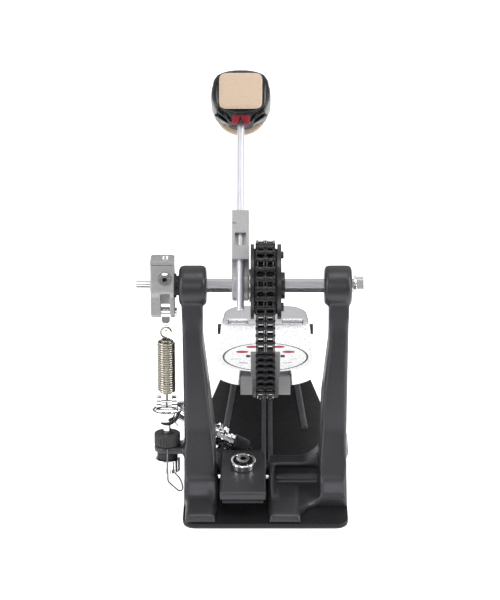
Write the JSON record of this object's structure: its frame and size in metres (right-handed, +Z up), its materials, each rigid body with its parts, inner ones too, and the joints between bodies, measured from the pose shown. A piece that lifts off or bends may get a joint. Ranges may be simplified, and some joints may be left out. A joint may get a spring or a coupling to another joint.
{
  "type": "bass drum pedal",
  "caption": "Foot pedal for a bass drum: chain-driven cam on a hexagonal axle between two towers, felt-faced beater, extension spring, hoop clamp, hinged footboard and floor plate.",
  "frame": {"origin": "on the floor, under the middle of the axle", "axes": "+X along the axle to the right seen from the drum, -Y to the drum, +Y to the heel, +Z up"},
  "size_m": [0.1865, 0.389, 0.3423],
  "materials": {
    "pad_rubber": "matt ribbed rubber",
    "plate_black": "semi-matt black powder coat",
    "casting_grey": "satin dark grey metallic paint",
    "screw_zinc": "zinc plated",
    "bearing_steel": "ground steel",
    "axle_steel": "polished hexagonal bar",
    "chrome": "bright chrome",
    "spacer_black": "moulded black",
    "cam_black": "black anodised",
    "liner_dark": "dark rubber",
    "ring_satin": "satin",
    "chain_black": "blackened and oiled steel",
    "screw_bright": "nickel",
    "cast_grey": "fine bead-blasted cast grey",
    "polished": "polished and lacquered",
    "inlay_dark": "gloss dark",
    "dot_red": "gloss red",
    "shell_black": "gloss black",
    "felt": "pressed wool felt",
    "insert_red": "dark red rubbery plastic",
    "spring_nickel": "nickel plated spring wire",
    "knob_black": "knurled black",
    "washer_black": "black rubber",
    "clip_wire": "dark spring wire",
    "jaw_black": "satin black-grey coat"
  },
  "bodies": {
    "frame": {"base_pad": "pad_rubber", "base_plate": "plate_black", "frame_casting": "casting_grey", "base_screws": "screw_zinc", "bearing_outer": "bearing_steel", "bearing_balls": "bearing_steel", "hinge_pin": "screw_bright", "hinge_caps": "inlay_dark", "heel_block": "polished", "tension_rod": "chrome", "tension_washer": "washer_black", "jaw_pin": "screw_bright"},
    "axle_set": {"axle": "axle_steel", "axle_nut": "chrome", "axle_spacer": "spacer_black", "bearing_inner": "bearing_steel", "sprocket_cam": "cam_black", "cam_liner": "liner_dark", "cam_screws": "cam_black", "cam_ring": "ring_satin", "chain_anchor": "cam_black", "chain_wrap": "chain_black", "beater_holder": "cast_grey", "holder_screw": "chrome", "spring_rocker": "cast_grey", "rocker_cap": "cast_grey", "rocker_screw": "chrome", "rocker_bolt": "screw_bright", "rocker_pin": "screw_bright"},
    "link_3": {"chain_link_3": "chain_black"},
    "link_2": {"chain_link_2": "chain_black"},
    "link_1": {"chain_link_1": "chain_black"},
    "run": {"chain_run": "chain_black"},
    "board": {"footboard": "polished", "board_ring": "inlay_dark", "board_dots": "dot_red", "board_screws": "inlay_dark", "toe_blocks": "cast_grey", "toe_pin": "screw_bright"},
    "bracket": {"toe_bracket": "cast_grey", "chain_tail": "chain_black", "chain_screws": "screw_bright"},
    "stirrup": {"spring_stirrup": "chrome"},
    "swivel": {"spring_swivel": "chrome", "swivel_pin": "chrome"},
    "spring_coil": {"spring": "spring_nickel"},
    "rod": {"beater_rod": "chrome"},
    "head": {"beater_core": "shell_black", "beater_shell": "shell_black", "felt_front": "felt", "felt_back": "felt", "beater_insert": "insert_red"},
    "knob": {"tension_knob": "knob_black"},
    "nut": {"tension_nut": "chrome"},
    "clip": {"safety_clip": "clip_wire"},
    "jaw": {"clamp_jaw": "jaw_black", "jaw_pad": "washer_black", "clamp_cap": "chrome", "clamp_bolt": "screw_bright"},
    "wing": {"wing_bolt": "chrome"}
  },
  "joints": [
    {"name": "axle_turn", "type": "hinge", "parent": "frame", "child": "axle_set", "pos_m": [0, 0, 0.184], "axis": [1, 0, 0], "range_deg": [0, 45], "stiffness_Nm_per_rad": 0.9, "springref_deg": -20.05},
    {"name": "link_3_bend", "type": "hinge", "parent": "axle_set", "child": "link_3", "pos_m": [0, -0.02766, 0.20069], "axis": [1, 0, 0], "range_deg": [-12.5, 0]},
    {"name": "link_2_bend", "type": "hinge", "parent": "link_3", "child": "link_2", "pos_m": [0, -0.03013, 0.19309], "axis": [1, 0, 0], "range_deg": [-15.2, 0]},
    {"name": "link_1_bend", "type": "hinge", "parent": "link_2", "child": "link_1", "pos_m": [0, -0.03055, 0.1851], "axis": [1, 0, 0], "range_deg": [-15.2, 0]},
    {"name": "run_bend", "type": "hinge", "parent": "link_1", "child": "run", "pos_m": [0, -0.02889, 0.17727], "axis": [1, 0, 0], "range_deg": [-7.7, 0]},
    {"name": "footboard_press", "type": "hinge", "parent": "frame", "child": "board", "pos_m": [0, 0.265, 0.0325], "axis": [1, 0, 0], "range_deg": [0, 6.75]},
    {"name": "bracket_tilt", "type": "hinge", "parent": "board", "child": "bracket", "pos_m": [0, 0.02149, 0.08443], "axis": [1, 0, 0], "range_deg": [-11.56, 0]},
    {"name": "stirrup_swing", "type": "hinge", "parent": "axle_set", "child": "stirrup", "pos_m": [-0.082, -0.00217, 0.1615], "axis": [1, 0, 0], "range_deg": [-54.95, 0]},
    {"name": "swivel_tilt", "type": "hinge", "parent": "frame", "child": "swivel", "pos_m": [-0.082, -0.01045, 0.0755], "axis": [1, 0, 0], "range_deg": [-9.95, 0]},
    {"name": "spring_stretch", "type": "slide", "parent": "swivel", "child": "spring_coil", "axis": [0, 0.0958, 0.9954], "range_m": [0, 0.00818], "deforming": ["spring"]},
    {"name": "beater_height", "type": "slide", "parent": "axle_set", "child": "rod", "axis": [0, 0.6293, 0.7771], "range_m": [-0.03, 0.03]},
    {"name": "beater_side", "type": "hinge", "parent": "rod", "child": "head", "pos_m": [-0.0204, 0.0887, 0.31419], "axis": [0, 0.6293, 0.7771], "continuous": true},
    {"name": "knob_turn", "type": "hinge", "parent": "frame", "child": "knob", "pos_m": [-0.082, -0.01275, 0.05161], "axis": [0, 0.0958, 0.9954], "continuous": true},
    {"name": "nut_turn", "type": "hinge", "parent": "frame", "child": "nut", "pos_m": [-0.082, -0.01495, 0.02872], "axis": [0, 0.0958, 0.9954], "continuous": true},
    {"name": "clip_swing", "type": "hinge", "parent": "frame", "child": "clip", "pos_m": [-0.0815, -0.0236, 0.0449], "axis": [1, 0, 0], "range_deg": [-90, 0]},
    {"name": "jaw_tilt", "type": "hinge", "parent": "frame", "child": "jaw", "pos_m": [-0.0186, -0.02, 0.019], "axis": [1, 0, 0], "range_deg": [-3, 9]},
    {"name": "wing_turn", "type": "hinge", "parent": "frame", "child": "wing", "pos_m": [-0.0363, 0.0385, 0.0265], "axis": [-0.866, 0, 0.5], "range_deg": [-120.2, 360.2]}
  ],
  "couplings": [
    {"joint": "link_3_bend", "follows": "axle_turn", "ratio": -0.27339},
    {"joint": "link_2_bend", "follows": "axle_turn", "ratio": -0.33333},
    {"joint": "link_1_bend", "follows": "axle_turn", "ratio": -0.33333},
    {"joint": "run_bend", "follows": "axle_turn", "ratio": -0.16667},
    {"joint": "footboard_press", "follows": "axle_turn", "ratio": 0.14563},
    {"joint": "bracket_tilt", "follows": "axle_turn", "ratio": -0.25236},
    {"joint": "stirrup_swing", "follows": "axle_turn", "ratio": -1.2166},
    {"joint": "swivel_tilt", "follows": "axle_turn", "ratio": -0.21663},
    {"joint": "spring_stretch", "follows": "axle_turn", "m_per_rad": 0.010163},
    {"joint": "wing_turn", "follows": "jaw_tilt", "ratio": 40}
  ]
}
